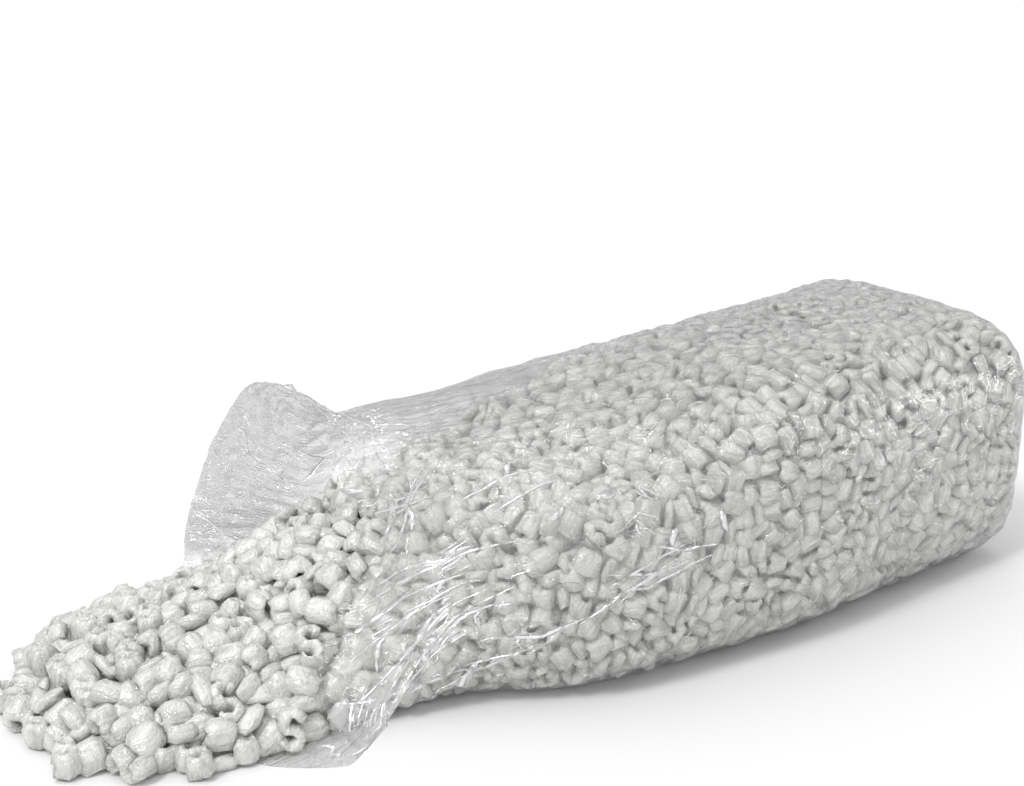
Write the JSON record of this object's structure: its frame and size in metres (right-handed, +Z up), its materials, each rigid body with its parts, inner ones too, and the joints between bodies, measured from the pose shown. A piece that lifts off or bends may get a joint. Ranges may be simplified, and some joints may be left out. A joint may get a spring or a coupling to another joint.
{
  "type": "packing peanut bag",
  "caption": "Clear film bag of S-shaped foam packing peanuts, lying on its side with its mouth open and part of the fill poured out in a heap.",
  "frame": {"origin": "on the floor under the middle of the whole footprint, bag and heap together", "axes": "+X from the open mouth to the closed end, +Y to the far side, +Z up"},
  "size_m": [1.2292, 0.5973, 0.3319],
  "materials": {
    "film": "clear glossy polyethylene film, crumpled",
    "foam": "white expanded foam, satin, finely streaked",
    "fill": "white expanded foam in bulk"
  },
  "bodies": {
    "root": {"bag_film": "film", "packed_fill": "fill", "heap_core": "fill", "peanut_01": "foam", "peanut_02": "foam", "peanut_03": "foam", "peanut_04": "foam", "peanut_05": "foam", "peanut_06": "foam", "peanut_07": "foam", "peanut_08": "foam", "peanut_09": "foam", "peanut_10": "foam", "peanut_11": "foam", "peanut_12": "foam", "peanut_13": "foam", "peanut_14": "foam", "peanut_15": "foam", "peanut_16": "foam", "peanut_17": "foam", "peanut_18": "foam", "peanut_19": "foam", "peanut_20": "foam", "peanut_21": "foam", "peanut_22": "foam", "peanut_23": "foam", "peanut_24": "foam", "peanut_25": "foam", "peanut_26": "foam", "peanut_27": "foam", "peanut_28": "foam", "peanut_29": "foam", "peanut_30": "foam", "peanut_31": "foam", "peanut_32": "foam", "peanut_33": "foam", "peanut_34": "foam", "peanut_35": "foam", "peanut_36": "foam", "peanut_37": "foam", "peanut_38": "foam"}
  },
  "joints": []
}
